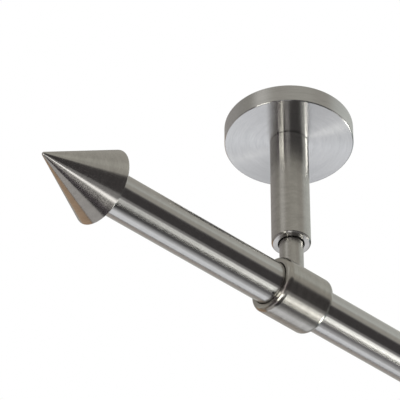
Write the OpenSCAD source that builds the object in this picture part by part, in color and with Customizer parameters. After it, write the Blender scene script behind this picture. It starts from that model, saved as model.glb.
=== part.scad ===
// Curtain rod for fixing under a ceiling: one round tube carried by two brackets, a cone finial at each end.
// Millimetres, +Z up, +X along the rod to the right, -Y towards the room.
// The origin is the centre of the left bracket's ceiling face.

/* [Rod tube] */
// outside diameter of the tube
rod_d = 20; // [18:1:28]
// wall of the tube
rod_wall = 1; // [0.8:0.1:1.5]
// length of the tube
rod_len = 1000; // [600:10:2500]
// length of tube from each bracket's centre to the tube's end
overhang = 111; // [60:1:250]
// chamfer on the tube's end edges
rod_edge = 0.2; // [0.1:0.05:0.35]

/* [Ring] */
// length of the ring along the rod
ring_len = 27; // [20:1:40]
// wall of the ring
ring_wall = 3.2; // [3:0.1:6]
// gap all round between the rod and the ring
ring_gap = 0.3; // [0.2:0.05:0.6]
// radius of the rounded outer edges of the ring
ring_round = 2.5; // [0.5:0.1:2.6]
// chamfer on the edges of the ring's bore
ring_edge = 0.3; // [0.1:0.05:0.35]

/* [Stem] */
// diameter of the stem
stem_d = 11; // [9:0.5:12]
// height of stem that shows between ring and post
stem_show = 16.5; // [8:0.5:25]
// length of stem inside the post
stem_in = 30.5; // [26:0.5:33]
// height of the guide collar at the stem's upper end
collar_h = 6; // [4:0.5:9]
// how far the guide collar stands out round the stem
collar_step = 0.45; // [0.3:0.05:0.8]
// running clearance round the guide collar
collar_fit = 0.05; // [0.02:0.01:0.1]
// chamfer on the stem's upper edge
collar_edge = 0.4; // [0.2:0.1:0.8]

/* [Stem screw] */
// shank diameter of the countersunk screw that holds the stem on the ring
stem_screw_d = 4; // [3:0.5:4.5]
// head diameter of that screw
stem_screw_head_d = 8; // [7:0.5:8.5]
// length of that screw, head included
stem_screw_len = 16; // [12:1:20]

/* [Post] */
// outside diameter of the post
post_d = 18; // [17:0.5:26]
// length of the post under the cover
post_len = 61; // [52:1:200]
// chamfer round the post's lower outer edge
post_edge = 0.7; // [0.3:0.1:1]
// chamfer round the mouth of the post's bore
post_mouth = 0.3; // [0.1:0.1:0.6]
// solid web between the stem's bore and the stud's hole
post_web = 2; // [1:0.5:4]

/* [Grub screws] */
// diameter of the grub screws
grub_d = 4; // [3:0.5:5]
// height of the grub screw's axis above the post's lower end
grub_up = 6.5; // [4.5:0.5:10]
// how deep the grub screws sit below the outer surface
grub_recess = 0.4; // [0.2:0.1:0.8]
// chamfer at both ends of a grub screw
grub_edge = 0.5; // [0.2:0.1:0.8]

/* [Ceiling cover] */
// outside diameter of the cover
cover_d = 60; // [54:1:90]
// height of the cover
cover_h = 9.5; // [8:0.5:14]
// wall and floor of the cover
cover_wall = 1.5; // [1:0.1:2]
// radius on the cover's lower outer edge
cover_round = 0.5; // [0.3:0.1:0.9]
// chamfer on the cover's upper outer edge
cover_edge = 0.3; // [0.1:0.1:0.6]
// clearance round the stud in the cover's centre hole
cover_hole_gap = 0.2; // [0.1:0.05:0.4]

/* [Mounting plate] */
// thickness of the plate
plate_t = 3; // [2.5:0.5:4]
// clearance between the plate's rim and the cover's wall
plate_gap = 0.2; // [0.1:0.05:0.4]
// diameter of the boss in the plate's centre
boss_d = 16; // [14:1:20]
// solid material left above the boss's threaded hole
boss_top = 1; // [0.8:0.1:1.5]
// chamfer round the boss
boss_edge = 0.6; // [0.3:0.1:1]
// distance between the two fixing slots
fixing_pitch = 36; // [32:1:36]
// width of a fixing slot
fixing_d = 4.8; // [4:0.1:5.5]
// how far a fixing screw can shift along its slot
fixing_travel = 3.5; // [2:0.5:5]
// width of the countersink of a fixing slot
fixing_sink_d = 9; // [8:0.5:10]

/* [Post stud] */
// diameter of the stud that joins post and plate
stud_d = 8; // [6:1:9]
// length of the stud
stud_len = 20; // [17:1:26]
// chamfer at both ends of the stud
stud_edge = 0.8; // [0.4:0.1:1.2]
// free depth left past the stud in the post
stud_spare = 1.5; // [0.5:0.5:3]

/* [Finial] */
// diameter of the cone's base
finial_d = 36; // [32:1:50]
// length from the cone's base to the point its flanks aim at
finial_point = 35; // [28:1:60]
// radius of the rounded tip
finial_tip = 1; // [0.5:0.1:2]
// chamfer round the cone's base
finial_edge = 0.4; // [0.2:0.1:0.8]

/* [Finial plug] */
// length of the plug inside the tube
plug_len = 28; // [26:1:45]
// gap all round between plug and tube
plug_gap = 0.1; // [0.1:0.05:0.2]
// chamfer on the plug's inner end
plug_edge = 1; // [0.5:0.1:1.5]
// diameter of the pilot that centres the plug in the cone
pilot_d = 10; // [9:0.5:13]
// height of the pilot
pilot_h = 2; // [1.5:0.5:4]
// thickness of the rubber rings
oring_t = 2; // [1.5:0.1:2.2]
// distance of each rubber ring's middle from the end of the plug
oring_in = 5; // [4:0.5:6]
// extra width of a rubber ring's groove
groove_spare = 0.3; // [0.1:0.1:0.5]

/* [Finial screw] */
// shank diameter of the screw through the plug
finial_screw_d = 5; // [4:0.5:6]
// shank length of that screw
finial_screw_len = 25; // [20:1:28]
// head diameter of that screw
finial_screw_head_d = 8.5; // [8:0.5:9]
// head height of that screw
finial_screw_head_h = 5; // [3:0.5:6]
// depth of the screw's seat inside the plug
finial_seat = 14; // [11:1:16]

/* [Hidden] */
// facets of a full circle
$fn = 96;
// overlap used where one shape cuts through another
cut = 0.5;
// clearance round a thread, on the radius
thread_gap = 0.05;
// gap left at a faced or conical seat
seat_gap = 0.02;
// running clearance round the rubber rings
oring_fit = 0.02;
// clearance round a screw that passes freely through a hole, on the radius
free_gap = 0.2;
// spare depth past the end of a screw in a blind hole
screw_spare = 1;

// distance between the two brackets
spacing = rod_len - 2 * overhang;
// bores and outside diameters that follow from the rod and the stem
rod_bore_d = rod_d - 2 * rod_wall;
ring_bore_d = rod_d + 2 * ring_gap;
ring_d = ring_bore_d + 2 * ring_wall;
collar_d = stem_d + 2 * collar_step;
post_bore_d = collar_d + 2 * collar_fit;
// heights of the parts of one bracket
post_top = -cover_h;
post_end = post_top - post_len;
ring_top = post_end - stem_show;
rod_z = ring_top - ring_d / 2;
stem_top = post_end + stem_in;
cover_floor = -cover_h + cover_wall;
// stud and its hole in the post
stud_top = -boss_top;
stud_end = stud_top - stud_len;
stud_hole_end = stud_end - stud_spare;
post_bore_top = stud_hole_end - post_web;
// plate
plate_d = cover_d - 2 * cover_wall - 2 * plate_gap;
sink_depth = (fixing_sink_d - fixing_d) / 2;
// countersunk screw from the ring's bore into the stem
head_z = rod_z + ring_bore_d / 2 + seat_gap;
head_h = (stem_screw_head_d - stem_screw_d) / 2;
stem_hole_top = head_z + stem_screw_len + screw_spare;
// grub screws
post_grub_tip = stem_d / 2 + seat_gap;
post_grub_len = post_d / 2 - grub_recess - post_grub_tip;
ring_grub_tip = rod_d / 2 + seat_gap;
ring_grub_len = ring_d / 2 - grub_recess - ring_grub_tip;
// cone: angle between axis and flank, middle and touching point of the rounded tip
cone_angle = atan((finial_d / 2) / (finial_point - finial_edge));
tip_z = finial_point - finial_tip / sin(cone_angle);
touch_r = finial_tip * cos(cone_angle);
touch_z = tip_z + finial_tip * sin(cone_angle);
cone_hole_h = finial_screw_len - finial_seat + screw_spare;
// plug and its rubber rings
plug_d = rod_bore_d - 2 * plug_gap;
oring_r = rod_bore_d / 2 - oring_fit - oring_t / 2;
groove_r = oring_r - oring_t / 2;
groove_w = oring_t + groove_spare;

steel = [0.74, 0.74, 0.75];
zinc = [0.68, 0.70, 0.72];
dark_steel = [0.22, 0.22, 0.23];
light_alloy = [0.82, 0.82, 0.83];
black_rubber = [0.08, 0.08, 0.08];

// Round bar with a chamfer at both ends, standing on z = 0.
module chamfered_bar(d, h, edge) {
  cylinder(h = edge, d1 = d - 2 * edge, d2 = d);
  translate([0, 0, edge])
    cylinder(h = h - 2 * edge, d = d);
  translate([0, 0, h - edge])
    cylinder(h = edge, d1 = d, d2 = d - 2 * edge);
}

// Straight slot along X, cut upwards from z = 0.
module slot(d, travel, h) {
  for (side = [-1, 1])
    translate([side * travel / 2, 0, 0])
      cylinder(h = h, d = d);
  translate([-travel / 2, -d / 2, 0])
    cube([travel, d, h]);
}

// Countersink of a slot: widest at z = 0, narrowing upwards at 45 degrees.
module slot_sink(d_low, d_high, travel, h) {
  for (side = [-1, 1])
    translate([side * travel / 2, 0, 0])
      cylinder(h = h, d1 = d_low, d2 = d_high);
  translate([-travel / 2, 0, 0])
    rotate([90, 0, 90])
      linear_extrude(height = travel)
        polygon([[-d_low / 2, 0], [d_low / 2, 0], [d_high / 2, h], [-d_high / 2, h]]);
}

// Plate screwed to the ceiling, with a threaded boss that carries the post.
module mounting_plate() {
  boss_end = cover_floor;
  difference() {
    union() {
      translate([0, 0, -plate_t])
        cylinder(h = plate_t, d = plate_d);
      translate([0, 0, boss_end])
        cylinder(h = boss_edge, d1 = boss_d - 2 * boss_edge, d2 = boss_d);
      translate([0, 0, boss_end + boss_edge])
        cylinder(h = -plate_t - boss_end - boss_edge, d = boss_d);
    }
    translate([0, 0, boss_end - cut])
      cylinder(h = stud_top - boss_end + cut, d = stud_d + 2 * thread_gap);
    for (side = [-1, 1])
      translate([side * fixing_pitch / 2, 0, -plate_t]) {
        translate([0, 0, -cut])
          slot(fixing_d, fixing_travel, plate_t + 2 * cut);
        slot_sink(fixing_sink_d, fixing_d, fixing_travel, sink_depth);
      }
  }
}

// Round cup that hides the plate, with a rounded lower edge and a hole for the stud.
module ceiling_cover() {
  outer_r = cover_d / 2;
  inner_r = outer_r - cover_wall;
  hole_r = stud_d / 2 + cover_hole_gap;
  rotate_extrude()
    difference() {
      union() {
        translate([hole_r, -cover_h])
          square([outer_r - cover_round - hole_r, cover_h]);
        translate([hole_r, -cover_h + cover_round])
          square([outer_r - hole_r, cover_h - cover_round - cover_edge]);
        translate([outer_r - cover_round, -cover_h + cover_round])
          circle(r = cover_round);
        translate([outer_r - cover_round, -cover_edge])
          polygon([[0, 0], [cover_round, 0], [cover_round - cover_edge, cover_edge], [0, cover_edge]]);
      }
      translate([hole_r - cut, cover_floor])
        square([inner_r - hole_r + cut, cover_h]);
    }
}

// Threaded stud between the plate's boss and the post.
module post_stud() {
  translate([0, 0, stud_end])
    chamfered_bar(stud_d, stud_len, stud_edge);
}

// Post: threaded from above for the stud, bored from below for the stem.
module post() {
  difference() {
    union() {
      translate([0, 0, post_end])
        cylinder(h = post_edge, d1 = post_d - 2 * post_edge, d2 = post_d);
      translate([0, 0, post_end + post_edge])
        cylinder(h = post_len - post_edge, d = post_d);
    }
    translate([0, 0, stud_hole_end])
      cylinder(h = post_top - stud_hole_end + cut, d = stud_d + 2 * thread_gap);
    translate([0, 0, post_end - cut])
      cylinder(h = post_bore_top - post_end + cut, d = post_bore_d);
    translate([0, 0, post_end])
      cylinder(h = post_mouth, d1 = post_bore_d + 2 * post_mouth, d2 = post_bore_d);
    translate([0, 0, post_end + grub_up])
      rotate([-90, 0, 0])
        cylinder(h = post_d, d = grub_d + 2 * thread_gap);
  }
}

// Grub screw in the post's rear wall, its tip against the stem.
module height_grub_screw() {
  translate([0, post_grub_tip, post_end + grub_up])
    rotate([-90, 0, 0])
      chamfered_bar(grub_d, post_grub_len, grub_edge);
}

// Stem: a saddle at its foot fits the ring, a guide collar at its top runs in the post.
module stem() {
  difference() {
    union() {
      translate([0, 0, rod_z])
        cylinder(h = stem_top - rod_z - collar_h / 2, d = stem_d);
      translate([0, 0, stem_top - collar_h])
        chamfered_bar(collar_d, collar_h, collar_edge);
    }
    translate([0, 0, rod_z])
      rotate([0, 90, 0])
        cylinder(h = 2 * stem_d, d = ring_d + 2 * seat_gap, center = true);
    translate([0, 0, rod_z])
      cylinder(h = stem_hole_top - rod_z, d = stem_screw_d + 2 * thread_gap);
  }
}

// Countersunk screw from inside the ring's bore up into the stem.
module stem_screw() {
  shank_h = stem_screw_len - head_h;
  translate([0, 0, head_z])
    cylinder(h = head_h, d1 = stem_screw_head_d, d2 = stem_screw_d);
  translate([0, 0, head_z + head_h])
    cylinder(h = shank_h - grub_edge, d = stem_screw_d);
  translate([0, 0, head_z + stem_screw_len - grub_edge])
    cylinder(h = grub_edge, d1 = stem_screw_d, d2 = stem_screw_d - 2 * grub_edge);
}

// Outline of the ring's wall: length along Y, rounded outside, chamfered at the bore.
module ring_outline() {
  low = ring_bore_d / 2;
  high = ring_d / 2;
  half = ring_len / 2;
  difference() {
    union() {
      translate([low, -half])
        square([ring_wall - ring_round, ring_len]);
      translate([low, -half + ring_round])
        square([ring_wall, ring_len - 2 * ring_round]);
      for (side = [-1, 1])
        translate([high - ring_round, side * (half - ring_round)])
          circle(r = ring_round);
    }
    translate([low - 2 * ring_round, -half - cut])
      square([2 * ring_round, ring_len + 2 * cut]);
    for (side = [-1, 1])
      polygon([[low - cut, side * (half + cut)], [low + ring_edge + cut, side * (half + cut)],
               [low + ring_edge, side * half], [low, side * (half - ring_edge)],
               [low - cut, side * (half - ring_edge)]]);
  }
}

// Ring that carries the rod, with a countersunk hole at its top and a threaded hole at its rear.
module ring() {
  difference() {
    translate([0, 0, rod_z])
      rotate([0, 90, 0])
        rotate_extrude()
          ring_outline();
    translate([0, 0, rod_z])
      cylinder(h = ring_d, d = stem_screw_d + 2 * free_gap);
    translate([0, 0, rod_z])
      cylinder(h = head_z - rod_z, d = stem_screw_head_d + 2 * thread_gap);
    translate([0, 0, head_z])
      cylinder(h = head_h, d1 = stem_screw_head_d + 2 * thread_gap, d2 = stem_screw_d + 2 * thread_gap);
    translate([0, 0, rod_z])
      rotate([-90, 0, 0])
        cylinder(h = ring_d, d = grub_d + 2 * thread_gap);
  }
}

// Grub screw in the ring's rear wall, its tip against the rod.
module ring_grub_screw() {
  translate([0, ring_grub_tip, rod_z])
    rotate([-90, 0, 0])
      chamfered_bar(grub_d, ring_grub_len, grub_edge);
}

// Round tube with chamfered ends, lying along X.
module rod_tube_shape() {
  low = rod_bore_d / 2;
  high = rod_d / 2;
  translate([-overhang, 0, rod_z])
    rotate([0, 90, 0])
      rotate_extrude()
        polygon([[low, rod_edge], [low + rod_edge, 0], [high - rod_edge, 0], [high, rod_edge],
                 [high, rod_len - rod_edge], [high - rod_edge, rod_len], [low + rod_edge, rod_len],
                 [low, rod_len - rod_edge]]);
}

// Cone with its base on z = 0, a rounded tip, a recess for the pilot and a threaded hole.
module finial_cone() {
  difference() {
    rotate_extrude()
      union() {
        polygon([[0, 0], [finial_d / 2 - finial_edge, 0], [finial_d / 2, finial_edge],
                 [touch_r, touch_z], [0, touch_z]]);
        intersection() {
          translate([0, tip_z])
            circle(r = finial_tip);
          translate([0, tip_z])
            square([2 * finial_tip, 2 * finial_tip]);
        }
      }
    translate([0, 0, -cut])
      cylinder(h = pilot_h + cut + seat_gap, d = pilot_d + 2 * thread_gap);
    cylinder(h = cone_hole_h, d = finial_screw_d + 2 * thread_gap);
  }
}

// Plug that centres the cone in the tube, with two grooves and a counterbored screw hole.
module finial_plug() {
  difference() {
    union() {
      translate([0, 0, -plug_len])
        cylinder(h = plug_edge, d1 = plug_d - 2 * plug_edge, d2 = plug_d);
      translate([0, 0, -plug_len + plug_edge])
        cylinder(h = plug_len - plug_edge, d = plug_d);
      cylinder(h = pilot_h, d = pilot_d);
    }
    for (z = [-oring_in, -plug_len + oring_in])
      translate([0, 0, z - groove_w / 2])
        difference() {
          cylinder(h = groove_w, d = plug_d + 2 * cut);
          cylinder(h = groove_w, r = groove_r);
        }
    translate([0, 0, -plug_len - cut])
      cylinder(h = plug_len + pilot_h + 2 * cut, d = finial_screw_d + 2 * free_gap);
    translate([0, 0, -plug_len - cut])
      cylinder(h = plug_len - finial_seat + cut, d = finial_screw_head_d + 2 * free_gap);
  }
}

// Cap screw through the plug into the cone.
module finial_screw() {
  translate([0, 0, -finial_seat - finial_screw_head_h])
    cylinder(h = finial_screw_head_h, d = finial_screw_head_d);
  translate([0, 0, -finial_seat])
    cylinder(h = finial_screw_len, d = finial_screw_d);
}

// Two rubber rings that grip the tube's inside.
module finial_rubber_rings() {
  for (z = [-oring_in, -plug_len + oring_in])
    translate([0, 0, z])
      rotate_extrude()
        translate([oring_r, 0])
          circle(d = oring_t);
}

// Puts a bracket piece at the right bracket.
module at_right() {
  translate([spacing, 0, 0])
    children();
}

// Turns a finial piece outwards at the tube's left end.
module at_left_end() {
  translate([-overhang, 0, rod_z])
    rotate([0, -90, 0])
      children();
}

// Turns a finial piece outwards at the tube's right end.
module at_right_end() {
  translate([rod_len - overhang, 0, rod_z])
    rotate([0, 90, 0])
      children();
}

module left_mounting_plate() { color(zinc) mounting_plate(); }
module left_ceiling_cover() { color(steel) ceiling_cover(); }
module left_post_stud() { color(zinc) post_stud(); }
module left_post() { color(steel) post(); }
module left_height_grub_screw() { color(dark_steel) height_grub_screw(); }
module left_stem() { color(steel) stem(); }
module left_stem_screw() { color(zinc) stem_screw(); }
module left_ring() { color(steel) ring(); }
module left_ring_grub_screw() { color(dark_steel) ring_grub_screw(); }
module right_mounting_plate() { color(zinc) at_right() mounting_plate(); }
module right_ceiling_cover() { color(steel) at_right() ceiling_cover(); }
module right_post_stud() { color(zinc) at_right() post_stud(); }
module right_post() { color(steel) at_right() post(); }
module right_height_grub_screw() { color(dark_steel) at_right() height_grub_screw(); }
module right_stem() { color(steel) at_right() stem(); }
module right_stem_screw() { color(zinc) at_right() stem_screw(); }
module right_ring() { color(steel) at_right() ring(); }
module right_ring_grub_screw() { color(dark_steel) at_right() ring_grub_screw(); }
module rod_tube() { color(steel) rod_tube_shape(); }
module left_finial_cone() { color(steel) at_left_end() finial_cone(); }
module left_finial_plug() { color(light_alloy) at_left_end() finial_plug(); }
module left_finial_screw() { color(zinc) at_left_end() finial_screw(); }
module left_finial_rubber_rings() { color(black_rubber) at_left_end() finial_rubber_rings(); }
module right_finial_cone() { color(steel) at_right_end() finial_cone(); }
module right_finial_plug() { color(light_alloy) at_right_end() finial_plug(); }
module right_finial_screw() { color(zinc) at_right_end() finial_screw(); }
module right_finial_rubber_rings() { color(black_rubber) at_right_end() finial_rubber_rings(); }

left_mounting_plate();
left_ceiling_cover();
left_post_stud();
left_post();
left_height_grub_screw();
left_stem();
left_stem_screw();
left_ring();
left_ring_grub_screw();
right_mounting_plate();
right_ceiling_cover();
right_post_stud();
right_post();
right_height_grub_screw();
right_stem();
right_stem_screw();
right_ring();
right_ring_grub_screw();
rod_tube();
left_finial_cone();
left_finial_plug();
left_finial_screw();
left_finial_rubber_rings();
right_finial_cone();
right_finial_plug();
right_finial_screw();
right_finial_rubber_rings();
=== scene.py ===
import math

import bmesh
import bpy
import numpy as np
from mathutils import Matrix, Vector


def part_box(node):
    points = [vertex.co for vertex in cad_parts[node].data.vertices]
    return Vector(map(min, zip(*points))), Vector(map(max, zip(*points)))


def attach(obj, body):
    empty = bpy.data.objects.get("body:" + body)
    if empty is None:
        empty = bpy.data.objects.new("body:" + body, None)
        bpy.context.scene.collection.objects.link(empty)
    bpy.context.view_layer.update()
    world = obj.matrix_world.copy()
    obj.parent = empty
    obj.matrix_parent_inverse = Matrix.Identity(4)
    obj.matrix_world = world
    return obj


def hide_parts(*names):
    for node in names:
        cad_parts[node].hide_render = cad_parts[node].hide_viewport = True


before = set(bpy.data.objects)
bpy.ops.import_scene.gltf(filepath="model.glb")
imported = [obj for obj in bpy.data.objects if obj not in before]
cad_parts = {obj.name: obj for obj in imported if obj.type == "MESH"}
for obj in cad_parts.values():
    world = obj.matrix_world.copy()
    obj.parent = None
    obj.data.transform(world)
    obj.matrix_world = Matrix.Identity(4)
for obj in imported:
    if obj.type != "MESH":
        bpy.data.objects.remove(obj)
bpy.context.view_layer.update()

scene = bpy.context.scene

# ---------------------------------------------------------------------------------------------------------------
# Mounting plates. A turned and zinc-plated steel disc lies against the ceiling, with two countersunk slots for
# wood screws, and its boss has the thread for the post's stud. The cover hides it from below.
# ---------------------------------------------------------------------------------------------------------------

MM = 0.001
SIDES = ("left", "right")
SHARP_EDGE = math.radians(32)


def in_mm(box):
    """The lowest and highest corners of a box, in millimetres."""
    return [np.array(corner) / MM for corner in box]


def turns(sides):
    """The turn at each of so many sides, evenly from 0 and short of a whole turn."""
    return np.linspace(0, 2 * math.pi, sides, endpoint=False)


def turning_line(corners, closed=False, steps=6, support=0.12 * MM):
    """Outline of a turned piece as (along, out) points, from (along, out, radius) corners in millimetres. A corner
    with a radius gives way to the arc of that radius that touches both its sides. The arc's centre lies on the
    corner's bisector at radius / sin(half angle), and its points are the two touching points blended by the sines
    of their shares of the sweep. A long straight run gets one more point near each end."""
    corner = np.array(corners, float) * MM
    where, radius = corner[:, :2], corner[:, 2:]
    back, ahead = np.roll(where, 1, 0) - where, np.roll(where, -1, 0) - where
    back /= np.linalg.norm(back, axis=1, keepdims=True)
    ahead /= np.linalg.norm(ahead, axis=1, keepdims=True)
    half = np.arccos(np.clip((back * ahead).sum(1, keepdims=True), -0.9999, 0.9999)) / 2
    bisector = (back + ahead) / np.maximum(np.linalg.norm(back + ahead, axis=1, keepdims=True), 1e-9)
    centre = where + bisector * radius / np.sin(half)
    reach, sweep, share = radius / np.tan(half), math.pi - 2 * half, np.linspace(0, 1, steps + 1)
    from_back = (np.sin((1 - share) * sweep) / np.sin(sweep))[..., None] * (where + back * reach - centre)[:, None]
    from_ahead = (np.sin(share * sweep) / np.sin(sweep))[..., None] * (where + ahead * reach - centre)[:, None]
    arcs = centre[:, None] + from_back + from_ahead
    line = arcs[(radius > 0) | (share == 0)]
    run = (np.roll(line, -1, 0) if closed else np.vstack([line[1:], line[-1:]])) - line
    length = np.linalg.norm(run, axis=1, keepdims=True)
    step = run * support / np.maximum(length, support)
    long = length > 4 * support
    return np.stack([line, line + step, line + run - step], 1)[np.hstack([np.full_like(long, True), long, long])]


def turned(name, line, start, axis, closed=False, sides=180):
    """Surface of revolution round the line from start along axis. The outline point (along, out) at turn t lies at
    start + along * axis + out * (cos t * across + sin t * over). Both may be arrays of (rows, sides), so that the
    outline may change with the turn. UV: metres run along the outline, and the share of the turn."""
    along, out = line if isinstance(line, tuple) else (line[:, :1], line[:, 1:])
    rows = len(along)
    along, out = np.broadcast_to(along, (rows, sides)), np.broadcast_to(out, (rows, sides))
    axis = np.array(axis, float)
    over = np.array((0, 1, 0) if abs(axis[2]) > 0.5 else (0, 0, 1), float)
    across = np.cross(over, axis)
    t = turns(sides)
    spoke = np.cos(t)[:, None] * across + np.sin(t)[:, None] * over
    points = np.array(start, float) + along[..., None] * axis + out[..., None] * spoke
    run = np.hypot(np.diff(along.mean(1), append=along[0].mean()), np.diff(out.mean(1), append=out[0].mean()))
    run = np.concatenate([[0], np.cumsum(run)])
    i, j = np.meshgrid(np.arange(rows if closed else rows - 1), np.arange(sides), indexing="ij")
    upper, beside = (i + 1) % rows, (j + 1) % sides
    quads = np.stack([i * sides + j, i * sides + beside, upper * sides + beside, upper * sides + j], -1)
    corners = ((i, j), (i, j + 1), (i + 1, j + 1), (i + 1, j))
    uv = np.stack([np.stack([run[row], column / sides], -1) for row, column in corners], 2)
    mesh = bpy.data.meshes.new(name)
    mesh.from_pydata(points.reshape(-1, 3), [], quads.reshape(-1, 4).tolist())
    mesh.uv_layers.new(name="turned").data.foreach_set("uv", uv.reshape(-1).astype(np.float32))
    made = bmesh.new()
    made.from_mesh(mesh)
    bmesh.ops.remove_doubles(made, verts=made.verts, dist=1e-7)
    bmesh.ops.recalc_face_normals(made, faces=made.faces)
    made.to_mesh(mesh)
    made.free()
    piece = bpy.data.objects.new(name, mesh)
    scene.collection.objects.link(piece)
    return piece


def cut_out(piece, *cutters):
    """Takes the room inside each closed cutter out of the piece and drops the cutter."""
    for cutter in cutters:
        change = piece.modifiers.new("cut", "BOOLEAN")
        change.operation, change.solver, change.object = "DIFFERENCE", "EXACT", cutter
        graph = bpy.context.evaluated_depsgraph_get()
        cut = bpy.data.meshes.new_from_object(piece.evaluated_get(graph), depsgraph=graph)
        piece.modifiers.clear()
        piece.data = cut
        bpy.data.objects.remove(cutter)


def slot_reach(half_width, half_travel, turn):
    """How far a round-ended slot reaches from its middle at a turn: half width / sine towards its straight sides,
    and towards an end the far crossing of the ray with the end's circle."""
    cosine, sine = np.abs(np.cos(turn)), np.abs(np.sin(turn))
    to_end = half_travel * cosine + np.sqrt(np.maximum(half_width ** 2 - (half_travel * sine) ** 2, 0))
    return np.where(half_width * cosine <= half_travel * sine, half_width / np.maximum(sine, 1e-9), to_end)


def finished(piece, finish, body, node):
    """Smooths the piece except at sharp edges, gives it its finish and ties it to the frame."""
    piece.data.polygons.foreach_set("use_smooth", [True] * len(piece.data.polygons))
    piece.data.set_sharp_from_angle(angle=SHARP_EDGE)
    piece.data.materials.clear()
    piece.data.materials.append(finish)
    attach(piece, body)
    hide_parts(node)


def feed(node, inputs):
    """Gives each input of a shader node its value, or a link where a socket stands for the value."""
    for place, value in (inputs.items() if isinstance(inputs, dict) else enumerate(inputs)):
        if isinstance(value, bpy.types.NodeSocket):
            node.id_data.links.new(value, node.inputs[place])
        else:
            node.inputs[place].default_value = value


def node_adder(tree):
    """A function that adds a shader node to the tree, sets it and feeds it."""
    def add(kind, operation=None, inputs=(), **settings):
        node = tree.nodes.new("ShaderNode" + kind)
        if operation:
            node.operation = operation
        for key, value in settings.items():
            setattr(node, key, value)
        feed(node, inputs)
        return node

    return add


def new_finish(name):
    """A new material, its shader, and a function that adds nodes to it."""
    material = bpy.data.materials.new(name)
    material.use_nodes = True
    return material, material.node_tree.nodes["Principled BSDF"], node_adder(material.node_tree)


def clouded(name, dull, pale, patches, grain, rough, relief, depth, metal=1.0, grain_dulls=False):
    """A finish of two noises on the piece's own coordinates. The wide patches blend the dull colour into the pale
    one, and the fine grain is the bump. Roughness goes between its two values with the patches or the grain."""
    material, shader, add = new_finish(name)
    place = add("TexCoord").outputs["Object"]
    patch = add("TexNoise", inputs={"Vector": place, "Scale": patches, "Detail": 3}).outputs["Fac"]
    speck = add("TexNoise", inputs={"Vector": place, "Scale": grain, "Detail": 2}).outputs["Fac"]
    colour = add("Mix", data_type="RGBA", inputs={"Factor": patch, "A": (*dull, 1), "B": (*pale, 1)})
    dullness = add("MapRange", inputs={"Value": speck if grain_dulls else patch, "To Min": rough[0],
                                       "To Max": rough[1]})
    bump = add("Bump", inputs={"Strength": relief, "Distance": depth, "Height": speck})
    feed(shader, {"Base Color": colour.outputs["Result"], "Roughness": dullness.outputs["Result"],
                  "Normal": bump.outputs["Normal"], "Metallic": metal})
    return material


# Bright zinc plate has cloudy patches a few millimetres wide, and fine pits that roughen it.
zinc = clouded("zinc_plated_steel", dull=(0.47, 0.49, 0.52), pale=(0.62, 0.64, 0.67), patches=260, grain=2600,
               rough=(0.28, 0.46), relief=0.15, depth=0.03 * MM, grain_dulls=True)
plate_r, plate_t, boss_r, boss_edge, thread_r, thread_top = 28.3, 3.0, 8.0, 0.6, 4.05, -1.0
slot_pitch, slot_half_width, slot_half_travel, sink_half_width, slot_sides = 36.0, 2.4, 1.75, 4.5, 120
sink_from, cutter_low, cutter_high = -plate_t + sink_half_width - slot_half_width, -4.0, 1.0
slot_depth = np.array([cutter_high, cutter_high, sink_from, -plate_t, cutter_low, cutter_low])[:, None]
slot_width = np.array([0, slot_half_width, slot_half_width, sink_half_width, sink_half_width, 0])[:, None]
slot_out = np.where(slot_width > 0, slot_reach(slot_width, slot_half_travel, turns(slot_sides)[None]), 0)
for side in SIDES:
    low, high = in_mm(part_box(f"{side}_mounting_plate"))
    centre_x, boss_end = (low[0] + high[0]) / 2, low[2]
    plate = turned(f"{side}_plate_disc", turning_line([
        (0, 0, 0), (0, plate_r, 0.15), (-plate_t, plate_r, 0.2), (-plate_t, boss_r, 0.3),
        (boss_end + boss_edge, boss_r, 0.1), (boss_end, boss_r - boss_edge, 0.1), (boss_end, thread_r, 0.1),
        (thread_top, thread_r, 0.1), (thread_top, 0, 0)]), (centre_x * MM, 0, 0), (0, 0, 1))
    for end in (-1, 1):
        slot_x = (centre_x + end * slot_pitch / 2) * MM
        cut_out(plate, turned("slot_cutter", (slot_depth * MM, slot_out * MM), (slot_x, 0, 0), (0, 0, 1),
                              sides=slot_sides))
    finished(plate, zinc, "ceiling_mounts", f"{side}_mounting_plate")

# ---------------------------------------------------------------------------------------------------------------
# Ceiling covers. A shallow round cup of steel, turned and polished on the lathe, so that its faint grain runs in
# circles. It is clamped between the plate's boss and the post, its rim against the ceiling.
# ---------------------------------------------------------------------------------------------------------------


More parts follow.
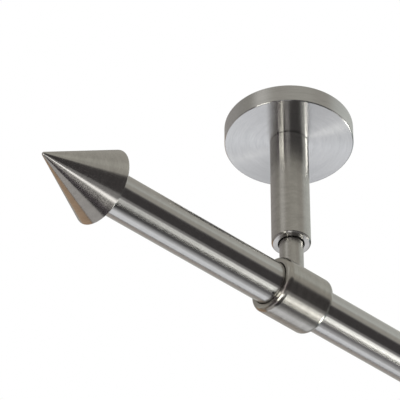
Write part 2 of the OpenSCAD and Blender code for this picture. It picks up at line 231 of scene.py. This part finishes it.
def brushed_metal(name, colour, spread, rough=0.24, uneven=0.03, directed=0.85, ripple=0.2):
    """Metal brushed on the lathe. The grain is noise that changes fast along the outline (UV u, in metres) and
    slowly round the turn (UV v), read on a circle so that it closes. It moves colour, roughness and bump."""
    material, shader, add = new_finish(name)
    uv = add("SeparateXYZ", inputs=[add("UVMap", uv_map="turned").outputs["UV"]])
    angle = add("Math", "MULTIPLY", [uv.outputs["Y"], 2 * math.pi]).outputs[0]
    round_x = add("Math", "COSINE", [angle]).outputs[0]
    round_y = add("Math", "SINE", [angle]).outputs[0]

    def grain(per_metre, round_scale, detail):
        fast = add("Math", "MULTIPLY", [uv.outputs["X"], per_metre]).outputs[0]
        slow_x = add("Math", "MULTIPLY", [round_x, round_scale]).outputs[0]
        slow_y = add("Math", "MULTIPLY", [round_y, round_scale]).outputs[0]
        place = add("CombineXYZ", inputs=[fast, slow_x, slow_y]).outputs[0]
        return add("TexNoise", inputs={"Vector": place, "Scale": 1, "Detail": detail}).outputs["Fac"]

    half_fine = add("Math", "MULTIPLY", [grain(per_metre=2600, round_scale=4, detail=2), 0.5]).outputs[0]
    broad = grain(per_metre=420, round_scale=1.5, detail=3)
    both = add("Math", "MULTIPLY_ADD", [broad, 0.5, half_fine]).outputs[0]
    dark, light = (tuple(part * share for part in colour) + (1,) for share in (1 - spread, 1 + spread))
    tone = add("Mix", data_type="RGBA", inputs={"Factor": both, "A": dark, "B": light})
    dullness = add("MapRange", inputs={"Value": both, "To Min": rough - uneven, "To Max": rough + uneven})
    relief = add("Bump", inputs={"Strength": ripple, "Distance": 0.004 * MM, "Height": both})
    tangent = add("Tangent", direction_type="UV_MAP", uv_map="turned")
    feed(shader, {"Base Color": tone.outputs["Result"], "Roughness": dullness.outputs["Result"],
                  "Normal": relief.outputs["Normal"], "Tangent": tangent.outputs["Tangent"], "Metallic": 1.0,
                  "Anisotropic": directed})
    return material


cover_steel = brushed_metal("polished_steel_cover", (0.565, 0.565, 0.565), spread=0.24, rough=0.205, uneven=0.04,
                            directed=1.0, ripple=0.3)
cover_r, cover_h, cover_wall, cover_hole_r = 30.0, 9.5, 1.5, 4.2
for side in SIDES:
    low, high = in_mm(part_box(f"{side}_ceiling_cover"))
    cover = turned(f"{side}_cover_cup", turning_line([
        (0, cover_r, 0.35), (-cover_h, cover_r, 0.5), (-cover_h, cover_hole_r, 0.1),
        (-cover_h + cover_wall, cover_hole_r, 0.1), (-cover_h + cover_wall, cover_r - cover_wall, 0.3),
        (0, cover_r - cover_wall, 0.2)], closed=True),
        ((low[0] + high[0]) / 2 * MM, 0, 0), (0, 0, 1), closed=True, sides=256)
    finished(cover, cover_steel, "ceiling_mounts", f"{side}_ceiling_cover")

# ---------------------------------------------------------------------------------------------------------------
# Post studs. A length of zinc-plated threaded rod joins the plate's boss, the cover and the post, which together
# hide it.
# ---------------------------------------------------------------------------------------------------------------


def even_rows(corners, sides):
    """Rows of an outline that are the same all round the turn, from (along, out) corners."""
    return np.array(corners, float).T[..., None] + np.zeros(sides)


def threaded(length, radius, pitch, depth, edge, sides, start=0.0, rows_per_turn=10, flat=0.15):
    """Rows of a screw thread of a length from along = start: out = radius - depth * wave, where the wave goes from
    0 to 1 and back once for each pitch along and is moved on by the share of the turn, with its crests and roots
    cut flat. It is capped at both ends by a chamfer that starts edge below the radius."""
    along = np.linspace(0, length, int(length / pitch * rows_per_turn) + 1)[:, None]
    share = np.arange(sides)[None] / sides
    wave = np.clip(np.abs((along / pitch - share) % 1 * 2 - 1) * (1 + 2 * flat) - flat, 0, 1)
    chamfer = radius - edge + np.minimum(along, length - along)
    return np.stack([start + along + 0 * share, np.minimum(radius - depth * wave, chamfer)])


def joined(*parts):
    """One outline in metres from parts in millimetres, each of them (along, out) rows, put end to end."""
    return tuple(np.vstack(rows) * MM for rows in zip(*parts))


screw_sides = 96
stud_r, stud_pitch, stud_depth, stud_edge = 4.0, 1.25, 0.65, 0.8
for side in SIDES:
    low, high = in_mm(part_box(f"{side}_post_stud"))
    length = high[2] - low[2]
    thread = threaded(length, stud_r, stud_pitch, stud_depth, stud_edge, screw_sides)
    stud = turned(f"{side}_threaded_stud", joined(
        even_rows([(0, 0)], screw_sides), thread, even_rows([(length, 0)], screw_sides)),
        ((low[0] + high[0]) / 2 * MM, 0, low[2] * MM), (0, 0, 1), sides=screw_sides)
    finished(stud, zinc, "ceiling_mounts", f"{side}_post_stud")

# ---------------------------------------------------------------------------------------------------------------
# Posts. Each is one length of round steel bar, brushed on the lathe, threaded above for its stud and bored from
# below for the stem. A grub screw sits in a threaded hole at its rear.
# ---------------------------------------------------------------------------------------------------------------


def drill(start, axis, *outline):
    """Closed round cutter for a hole: the (along, out) outline, brought to the axis at both ends and turned."""
    whole = [(outline[0][0], 0), *outline, (outline[-1][0], 0)]
    return turned("drill", turning_line([(along, out, 0) for along, out in whole]), start, axis, sides=64)


bar_steel = brushed_metal("brushed_steel", (0.49, 0.48, 0.465), spread=0.36)
post_r, post_edge, post_bore_r, post_mouth = 9.0, 0.7, 6.0, 0.15
stud_hole_r, stud_hole_end, bore_top = 4.05, -22.5, -24.5
grub_hole_r, grub_up, inside_bore, past_wall = 2.05, 6.5, 3.0, 2.0
for side in SIDES:
    low, high = in_mm(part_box(f"{side}_post"))
    centre_x = (low[0] + high[0]) / 2 * MM
    post = turned(f"{side}_post_bar", turning_line([
        (stud_hole_end, 0, 0), (stud_hole_end, stud_hole_r, 0.1), (high[2], stud_hole_r, 0.1),
        (high[2], post_r, 0.6), (low[2] + post_edge, post_r, 0.5), (low[2], post_r - post_edge, 0.25),
        (low[2], post_bore_r + post_mouth, 0.1), (low[2] + post_mouth, post_bore_r, 0.1),
        (bore_top, post_bore_r, 0.2), (bore_top, 0, 0)]), (centre_x, 0, 0), (0, 0, 1), sides=200)
    cut_out(post, drill((centre_x, 0, (low[2] + grub_up) * MM), (0, 1, 0),
                        (inside_bore, grub_hole_r), (post_r + past_wall, grub_hole_r)))
    finished(post, bar_steel, "ceiling_mounts", f"{side}_post")

# ---------------------------------------------------------------------------------------------------------------
# Grub screws. Four short black-oxide steel screws with hexagon sockets: one in each post's rear wall holds the
# stem at its height, and one in each ring's rear wall holds the rod.
# ---------------------------------------------------------------------------------------------------------------


def hexagon(half_width, sides):
    """Reach of a hexagon from its middle at each turn: half its width across flats, over the cosine of the angle
    from the middle of the nearest flat."""
    return half_width / np.cos((turns(sides)[None] + math.pi / 6) % (math.pi / 3) - math.pi / 6)


def socket(mouth, way, depth, half_width, sides, edge=0.12):
    """Rows of a hexagon socket that opens at along = mouth with a chamfered edge and goes depth in, forwards or
    backwards by way, to a drilled cone as wide as the flats and a quarter as deep at its bottom."""
    shape = hexagon(half_width, sides)
    drilled = np.full((1, sides), half_width)
    into = np.array([0, edge, depth, depth, depth + half_width / 2])[:, None]
    out = np.vstack([shape + edge, shape, shape, drilled, 0 * drilled])
    return np.stack([mouth + way * into + 0 * shape, out])


# Black oxide on steel is nearly black, with a faint brown bloom in patches and a fine sandy grain.
black_steel = clouded("black_oxide_steel", dull=(0.045, 0.045, 0.05), pale=(0.085, 0.078, 0.072), patches=700,
                      grain=6000, rough=(0.3, 0.5), relief=0.2, depth=0.01 * MM)
grub_r, grub_pitch, grub_depth, grub_edge = 2.0, 0.7, 0.38, 0.5
grub_key, grub_socket, cup_r, cup_depth = 1.0, 1.7, 0.95, 0.5
for side in SIDES:
    for kind, screw in (("height_grub_screw", "height_screw"), ("ring_grub_screw", "rod_screw")):
        low, high = in_mm(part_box(f"{side}_{kind}"))
        length = high[1] - low[1]
        grub = turned(f"{side}_{screw}_body", joined(
            even_rows([(cup_depth, 0), (0, cup_r)], screw_sides),
            threaded(length, grub_r, grub_pitch, grub_depth, grub_edge, screw_sides, rows_per_turn=14),
            socket(length, -1, grub_socket, grub_key, screw_sides)),
            ((low[0] + high[0]) / 2 * MM, low[1] * MM, (low[2] + high[2]) / 2 * MM), (0, 1, 0), sides=screw_sides)
        finished(grub, black_steel, f"{side}_{screw}", f"{side}_{kind}")

# ---------------------------------------------------------------------------------------------------------------
# Stems. A thinner steel bar that slides in the post's bore, with a guide collar at its hidden upper end and a
# saddle at its foot that fits the ring.
# ---------------------------------------------------------------------------------------------------------------

ring_r, stem_r, stem_hole_r, stem_hole_up, stem_sides = 13.5, 5.5, 2.05, 27.32, 128
collar_r, collar_h, collar_edge, collar_step = 5.95, 6.0, 0.4, 0.2
saddle_gap, saddle_band = 0.02, 0.25
rod_low, rod_high = in_mm(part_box("rod_tube"))
rod_z = (rod_low[2] + rod_high[2]) / 2
for side in SIDES:
    low, high = in_mm(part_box(f"{side}_stem"))
    top, hole_top, foot = high[2], rod_z + stem_hole_up, rod_z + ring_r
    line = turning_line([
        (hole_top, 0, 0), (hole_top, stem_hole_r, 0.1), (foot, stem_hole_r, 0), (foot, stem_r, 0),
        (top - collar_h, stem_r, 0.1), (top - collar_h, collar_r - collar_step, 0.1),
        (top - collar_h + collar_edge, collar_r, 0.1), (top - collar_edge, collar_r, 0.1),
        (top, collar_r - collar_edge, 0.1), (top, 0, 0)])
    # The foot follows the ring, whose height is the root of (radius squared - distance off its axis squared).
    off_axis = line[:, 1:] * np.sin(turns(stem_sides)[None])
    saddle = np.sqrt(((ring_r + saddle_gap) * MM) ** 2 - off_axis ** 2) - ring_r * MM
    near_foot = line[:, :1] < (foot + saddle_band) * MM
    stem = turned(f"{side}_stem_bar", (line[:, :1] + np.where(near_foot, saddle, 0), line[:, 1:]),
                  ((low[0] + high[0]) / 2 * MM, 0, 0), (0, 0, 1), sides=stem_sides)
    finished(stem, bar_steel, f"{side}_hanger", f"{side}_stem")

# ---------------------------------------------------------------------------------------------------------------
# Stem screws. A zinc-plated countersunk steel screw goes from inside the ring up into the stem and draws the two
# together. The rod hides its head.
# ---------------------------------------------------------------------------------------------------------------

shank_r, screw_len, head_h, head_r, head_edge, stem_key, stem_socket = 2.0, 16.0, 2.0, 3.88, 0.12, 1.25, 1.3
start_rows = 8    # rows of the thread's chamfered start, whose room the head takes
for side in SIDES:
    low, high = in_mm(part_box(f"{side}_stem_screw"))
    thread = threaded(screw_len - head_h, shank_r, grub_pitch, grub_depth, grub_edge, screw_sides, start=head_h)
    screw = turned(f"{side}_countersunk_screw", joined(
        socket(0, 1, stem_socket, stem_key, screw_sides)[:, ::-1],
        even_rows([(0, head_r), (head_edge, head_r), (head_h, shank_r)], screw_sides),
        thread[:, start_rows:], even_rows([(screw_len, 0)], screw_sides)),
        ((low[0] + high[0]) / 2 * MM, 0, low[2] * MM), (0, 0, 1), sides=screw_sides)
    finished(screw, zinc, f"{side}_hanger", f"{side}_stem_screw")

# ---------------------------------------------------------------------------------------------------------------
# Rings. A short length of thick steel tube with well rounded ends carries the rod. It is screwed to the stem from
# inside and has a threaded hole at its rear.
# ---------------------------------------------------------------------------------------------------------------

ring_steel = brushed_metal("brushed_steel_ring", (0.468, 0.456, 0.431), spread=0.36)
ring_bore_r, ring_half, ring_round, inside_ring = 10.3, 13.5, 2.5, 5.0
sink_r, free_r, sink_start = 4.05, 2.2, ring_bore_r + 0.02
for side in SIDES:
    low, high = in_mm(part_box(f"{side}_ring"))
    centre = np.array([(low[0] + high[0]) / 2, 0, rod_z]) * MM
    ring = turned(f"{side}_ring_band", turning_line([
        (-ring_half, ring_bore_r, 0.3), (-ring_half, ring_r, ring_round), (ring_half, ring_r, ring_round),
        (ring_half, ring_bore_r, 0.3)], closed=True, steps=9), centre, (1, 0, 0), closed=True, sides=256)
    rear = drill(centre, (0, 1, 0), (inside_ring, grub_hole_r), (ring_r + past_wall, grub_hole_r))
    upper = drill(centre, (0, 0, 1), (inside_ring, sink_r), (sink_start, sink_r),
                  (sink_start + sink_r - free_r, free_r), (ring_r + past_wall, free_r))
    cut_out(ring, rear, upper)
    finished(ring, ring_steel, f"{side}_hanger", f"{side}_ring")

# ---------------------------------------------------------------------------------------------------------------
# Rod tube. Thin-walled round steel tube, brushed round on the lathe and cut square. It lies in both rings, and a
# finial plugs each end.
# ---------------------------------------------------------------------------------------------------------------

tube_steel = brushed_metal("brushed_steel_tube", (0.535, 0.53, 0.52), spread=0.16, rough=0.19, ripple=0.03)
tube_r, tube_bore_r, tube_edge = 10.0, 9.0, 0.2
tube = turned("rod_pipe", turning_line([
    (rod_low[0], tube_bore_r, tube_edge), (rod_low[0], tube_r, tube_edge), (rod_high[0], tube_r, tube_edge),
    (rod_high[0], tube_bore_r, tube_edge)], closed=True), (0, 0, rod_z * MM), (1, 0, 0), closed=True, sides=256)
finished(tube, tube_steel, "rod", "rod_tube")

# ---------------------------------------------------------------------------------------------------------------
# Finial cones. Turned from solid bar to a point, brushed on the lathe, with a recess and a threaded hole in the
# base for the plug and its screw.
# ---------------------------------------------------------------------------------------------------------------

cone_steel = brushed_metal("brushed_steel_cone", (0.53, 0.523, 0.508), spread=0.36, rough=0.22)
cone_r, cone_point, cone_edge, tip_r, tip_rows = 18.0, 35.0, 0.4, 1.0, 7
recess_r, recess_h, tapped_r, tapped_h = 5.05, 2.02, 2.55, 12.0
# The tip is an arc that touches the cone all round, its centre tip_r / sin(slope) short of the sharp point.
slope = math.atan(cone_r / (cone_point - cone_edge))
arc = np.linspace(0, math.pi / 2 - slope, tip_rows)[::-1]
tip = np.stack([cone_point - tip_r / math.sin(slope) + tip_r * np.cos(arc), tip_r * np.sin(arc)], 1)
cone_line = turning_line([
    (tapped_h, 0, 0), (tapped_h, tapped_r, 0.1), (recess_h, tapped_r, 0.1), (recess_h, recess_r, 0.1),
    (0, recess_r, 0.1), (0, cone_r - cone_edge, 0.15), (cone_edge, cone_r, 0.15), (*tip[0], 0)])
finials = [(side, way, end[0] * MM) for side, way, end in zip(SIDES, (-1, 1), (rod_low, rod_high))]
for side, way, end_x in finials:
    cone = turned(f"{side}_cone_tip", np.vstack([cone_line, tip[1:] * MM]), (end_x, 0, rod_z * MM), (way, 0, 0),
                  sides=256)
    finished(cone, cone_steel, f"{side}_finial", f"{side}_finial_cone")

# ---------------------------------------------------------------------------------------------------------------
# Finial plugs. Turned from light alloy, a sliding fit in the tube, with a pilot that centres the cone, two grooves
# for rubber rings and a deep counterbore for the screw's head.
# ---------------------------------------------------------------------------------------------------------------

alloy = brushed_metal("turned_light_alloy", (0.75, 0.755, 0.765), spread=0.08, rough=0.22, uneven=0.06,
                      directed=0.7)
plug_r, plug_len, plug_edge, pilot_r, pilot_h = 8.9, 28.0, 1.0, 5.0, 2.0
groove_r, groove_half, groove_in = 6.98, 1.15, 5.0
seat, head_hole_r, plug_hole_r = 14.0, 4.45, 2.7


def groove(middle):
    """Corners of a square groove in the plug, from the side next to the cone."""
    return [(middle + groove_half, plug_r, 0.15), (middle + groove_half, groove_r, 0.2),
            (middle - groove_half, groove_r, 0.2), (middle - groove_half, plug_r, 0.15)]


for side, way, end_x in finials:
    plug = turned(f"{side}_plug_body", turning_line([
        (-plug_len, head_hole_r, 0.2), (-seat, head_hole_r, 0.1), (-seat, plug_hole_r, 0.1),
        (pilot_h, plug_hole_r, 0.15), (pilot_h, pilot_r, 0.2), (0, pilot_r, 0.1), (0, plug_r, 0.15),
        *groove(-groove_in), *groove(-plug_len + groove_in),
        (-plug_len + plug_edge, plug_r, 0.3), (-plug_len, plug_r - plug_edge, 0.3)], closed=True),
        (end_x, 0, rod_z * MM), (way, 0, 0), closed=True, sides=160)
    finished(plug, alloy, f"{side}_finial", f"{side}_finial_plug")

# ---------------------------------------------------------------------------------------------------------------
# Rubber rings. Two moulded black rings sit in each plug's grooves and grip the tube from inside. Each is a round
# section carried round a circle.
# ---------------------------------------------------------------------------------------------------------------

# Black rubber has a soft sheen, a faint chalky bloom in patches, and a fine grain from the mould.
rubber = clouded("black_rubber", dull=(0.018, 0.018, 0.019), pale=(0.035, 0.035, 0.036), patches=300, grain=4000,
                 rough=(0.42, 0.62), relief=0.25, depth=0.02 * MM, metal=0.0)
section_r, section_at, around = 1.0, 7.98, turns(28)
for side, way, end_x in finials:
    for place, inwards in (("outer", groove_in), ("inner", plug_len - groove_in)):
        section = np.stack([-inwards + section_r * np.sin(around), section_at + section_r * np.cos(around)], 1)
        grip = turned(f"{side}_{place}_rubber_ring", section * MM, (end_x, 0, rod_z * MM), (way, 0, 0),
                      closed=True, sides=128)
        finished(grip, rubber, f"{side}_finial", f"{side}_finial_rubber_rings")

# ---------------------------------------------------------------------------------------------------------------
# Finial screws. A zinc-plated cap screw with a knurled head and a hexagon socket goes through the plug into the
# cone and holds the two together.
# ---------------------------------------------------------------------------------------------------------------

cap_r, cap_h, cap_edge, cap_edge_h, cap_foot_edge = 4.25, 5.0, 0.4, 0.35, 0.3
cap_shank_r, cap_len, cap_pitch, cap_depth, cap_end_edge, cap_start_rows = 2.5, 25.0, 0.8, 0.42, 0.5, 6
cap_key, cap_socket, knurls, knurl_depth = 2.0, 2.5, 40, 0.12
cap_sides = knurls * 6
cap_head = even_rows([(-cap_h, cap_r - cap_edge), (-cap_h + cap_edge_h, cap_r), (-cap_edge_h, cap_r),
                      (0, cap_r - cap_foot_edge), (0, cap_shank_r)], cap_sides)
# The knurl takes the head's two widest rows in by half its depth times (1 - cosine of the turn times the knurls).
cap_head[1, 1:3] -= knurl_depth / 2 * (1 - np.cos(knurls * turns(cap_sides)))
cap_thread = threaded(cap_len, cap_shank_r, cap_pitch, cap_depth, cap_end_edge, cap_sides)
cap_line = joined(socket(-cap_h, 1, cap_socket, cap_key, cap_sides)[:, ::-1], cap_head,
                  cap_thread[:, cap_start_rows:], even_rows([(cap_len, 0)], cap_sides))
for side, way, end_x in finials:
    screw = turned(f"{side}_cap_screw", cap_line, (end_x - way * seat * MM, 0, rod_z * MM), (way, 0, 0),
                   sides=cap_sides)
    finished(screw, zinc, f"{side}_finial", f"{side}_finial_screw")

# ---------------------------------------------------------------------------------------------------------------
# Studio. A white room with a plain pale floor far below, and soft-edged cards round the part that only its
# reflections see, because brushed steel is made of what it reflects. A black card hides what lies behind it.
# ---------------------------------------------------------------------------------------------------------------

lamp_glow = 1.8    # a card that glows more than this is sampled as a lamp


def card(name, corner, along, up, glow, soft=0.0):
    """Flat card from a corner and two sides, glowing with the (red, green, blue) strengths. Its glow fades to
    nothing over the soft width at each edge: the product of two smooth steps of the distance from the middle."""
    corner, along, up = (np.array(v, float) for v in (corner, along, up))
    mesh = bpy.data.meshes.new(name)
    mesh.from_pydata([corner, corner + along, corner + along + up, corner + up], [], [(0, 1, 2, 3)])
    mesh.uv_layers.new(name="card").data.foreach_set("uv", np.array([0, 0, 1, 0, 1, 1, 0, 1], np.float32))
    piece = bpy.data.objects.new(name, mesh)
    scene.collection.objects.link(piece)
    material, shader, add = new_finish(name)
    strength = max(glow)
    colour = [part / max(strength, 1e-6) for part in glow]
    surface = add("Emission", inputs={"Color": (*colour, 1), "Strength": strength}).outputs[0]
    if soft:
        place = add("SeparateXYZ", inputs=[add("UVMap", uv_map="card").outputs["UV"]])
        fades = []
        for axis, size in (("X", np.linalg.norm(along)), ("Y", np.linalg.norm(up))):
            offset = add("Math", "SUBTRACT", [place.outputs[axis], 0.5]).outputs[0]
            distance = add("Math", "ABSOLUTE", [offset]).outputs[0]
            edge = {"Value": distance, "From Min": 0.5, "From Max": 0.5 - min(soft / size, 0.5)}
            fades.append(add("MapRange", inputs=edge, interpolation_type="SMOOTHSTEP").outputs["Result"])
        fade = add("Math", "MULTIPLY", fades).outputs[0]
        surface = add("MixShader", inputs=[fade, add("BsdfTransparent").outputs[0], surface]).outputs[0]
    feed(material.node_tree.nodes["Material Output"], {"Surface": surface})
    material.node_tree.nodes.remove(shader)
    material.cycles.emission_sampling = "FRONT_BACK" if strength > lamp_glow else "NONE"
    mesh.materials.append(material)
    piece.visible_camera = False


# Each row is a name, a corner, two sides, the glow, and the width of the soft edge if there is one.
for row in (
    ("ceiling", (-8, -8, 1.3), (16, 0, 0), (0, 16, 0), (0.46, 0.44, 0.395)),
    ("ceiling_back", (-8, 3.4, 1.28), (16, 0, 0), (0, 4.6, 0), (0.63, 0.655, 0.635), 0.8),
    ("ceiling_left", (-3.2, 0.1, 1.25), (4.3, 0, 0), (0, 3.5, 0), (0.385, 0.37, 0.335), 0.5),
    ("ceiling_right", (0.6, -2.1, 1.24), (2.4, 0, 0), (0, 3.7, 0), (0.66, 0.675, 0.635), 0.6),
    ("ceiling_far_left", (-2.6, -0.75, 1.23), (1.7, 0, 0), (0, 1.5, 0), (0.71, 0.7, 0.66), 0.6),
    ("ceiling_near", (-1.7, 0.7, 1.22), (3.4, 0, 0), (0, 2, 0), (0.405, 0.385, 0.365), 0.6),
    ("ceiling_front", (-1.6, -2.5, 1.21), (1.9, 0, 0), (0, 1.75, 0), (0.525, 0.51, 0.455), 0.5),
    ("back_wall", (1, 6.5, -2.4), (6.2, 0, 0), (0, 0, 3.7), (0.46, 0.42, 0.39)),
    ("back_left_wall", (-7.5, 6.5, -2.4), (8.5, 0, 0), (0, 0, 3.7), (0.325, 0.285, 0.245)),
    ("right_wall", (7.5, -8, -2.4), (0, 16, 0), (0, 0, 3.7), (0.51, 0.515, 0.5)),
    ("left_wall", (-7.5, -8, -2.4), (0, 16, 0), (0, 0, 3.7), (0.065, 0.045, 0.05)),
    ("warm_wall", (-0.95, 3.2, -1.5), (2.1, 0, 0), (0, 0, 2.75), (0.465, 0.325, 0.22), 0.35),
    ("front_flag", (-3.6, -2.6, -2.4), (7.8, 0, -0.3), (0, 0, 3.15), (0.065, 0.06, 0.06), 0.35),
    ("left_box_low", (-2.3, -0.75, -2.25), (0, 1.3, 0), (0, 0, 1), (9.6, 9.55, 8.5), 0.25),
    ("left_box_high", (-2.3, -0.6, -1.25), (0, 0.9, 0), (0, 0, 1.9), (1.39, 1.265, 1.24), 0.3),
    ("right_box_front", (2.1, -0.88, -2.25), (0, 1.25, 0), (0, 0, 1), (11.5, 11.35, 10.6), 0.2),
    ("right_box_low", (2.08, 0.1, -2.25), (0, 0.9, 0), (0, 0, 1), (0, 0, 0), 0.2),
    ("right_box_high", (2.1, -0.6, -1.25), (0, 1.4, 0), (0, 0, 0.9), (0.245, 0.395, 0.46), 0.15),
    ("right_box_top", (2.1, -1, -0.3), (0, 1.45, 0), (0, 0, 1), (0, 0, 0), 0.15),
    ("under", (-8, -8, -2.36), (16, 0, 0), (0, 16, 0), (0, 0, 0)),
    ("front_floor", (-3.4, -2.55, -2.3), (7.4, 0, 0), (0, 1.5, 0), (0.29, 0.28, 0.275)),
    ("front_strip", (-2.2, -1.65, -2.28), (4.4, 0, 0), (0, 1.45, 0), (0, 0, 0.005), 0.5),
    ("left_strip", (-2.2, -1.5, -2.27), (1.6, 0, 0), (0, 0.9, 0), (2.2, 2.15, 2.1), 0.4),
    ("right_strip", (1.2, -1.84, -2.27), (1.5, 0, 0), (0, 1.55, 0), (1.92, 1.93, 1.84), 0.45),
    ("right_floor", (1.3, -0.1, -2.265), (0.8, 0, 0), (0, 1, 0), (0.505, 0.49, 0.505), 0.25),
    ("back_strip", (0.9, 0.35, -2.275), (2.4, 0, 0), (0, 1.3, 0), (0.53, 0.53, 0.53), 0.4),
    ("back_right_floor", (0.4, 0.75, -2.29), (3.2, 0, 0), (0, 4.5, 0), (1.025, 1.04, 1.075), 0.3),
    ("back_left_floor", (-3.4, 1, -2.3), (4.2, 0, 0), (0, 4.5, 0), (0.495, 0.475, 0.46), 0.3),
    ("left_floor", (-2.3, -1, -2.31), (0.8, 0, 0), (0, 2.3, 0), (0.86, 0.745, 0.825), 0.1),
):
    card(*row)


def seen_directly(add):
    """1 for a ray that leaves the camera or a glossy or clear surface, and else 0."""
    path = add("LightPath")
    either = add("Math", "MAXIMUM", [path.outputs["Is Camera Ray"], path.outputs["Is Glossy Ray"]]).outputs[0]
    return add("Math", "MAXIMUM", [either, path.outputs["Is Transmission Ray"]]).outputs[0]


floor_z, floor_half, floor_glow = -10.5, 60.0, 0.3
floor_mesh = bpy.data.meshes.new("floor")
floor_mesh.from_pydata(np.array([(-1, -1, 0), (1, -1, 0), (1, 1, 0), (-1, 1, 0)]) * floor_half + (0, 0, floor_z),
                       [], [(0, 1, 2, 3)])
floor = bpy.data.objects.new("floor", floor_mesh)
scene.collection.objects.link(floor)
material, shader, add = new_finish("pale_floor")
lift = add("Math", "MULTIPLY", [seen_directly(add), floor_glow]).outputs[0]
feed(shader, {"Base Color": (0.8, 0.8, 0.8, 1), "Roughness": 0.9, "Emission Color": (1, 1, 1, 1),
              "Emission Strength": lift})
material.cycles.emission_sampling = "NONE"
floor_mesh.materials.append(material)

room_light, white = 0.8, 1.0
world = bpy.data.worlds.new("white_room")
scene.world = world
world.use_nodes = True
world.cycles.sampling_method = "NONE"
add = node_adder(world.node_tree)
strength = add("MapRange", inputs={"Value": seen_directly(add), "To Min": room_light, "To Max": white})
feed(world.node_tree.nodes["Background"], {"Color": (1, 1, 1, 1), "Strength": strength.outputs["Result"]})

# ---------------------------------------------------------------------------------------------------------------
# Camera. It stands below and to the left and looks up along the rod, as in the photograph. Its place, turn and
# long lens were fitted together to the pieces' edges there.
# ---------------------------------------------------------------------------------------------------------------

photo_px, focal_px, sensor_mm = 400, 3425.69, 36
yaw, pitch = 0.7234, 0.7136
camera_data = bpy.data.cameras.new("camera")
camera = bpy.data.objects.new("camera", camera_data)
scene.collection.objects.link(camera)
scene.camera = camera
camera.location = (-0.81624, -0.86181, -1.07106)
camera.rotation_euler = (math.pi / 2 + pitch, 0, -yaw)
camera_data.sensor_width = sensor_mm
camera_data.lens = focal_px / photo_px * sensor_mm
camera_data.clip_start, camera_data.clip_end = 0.05, 100

scene.view_settings.view_transform = "Standard"
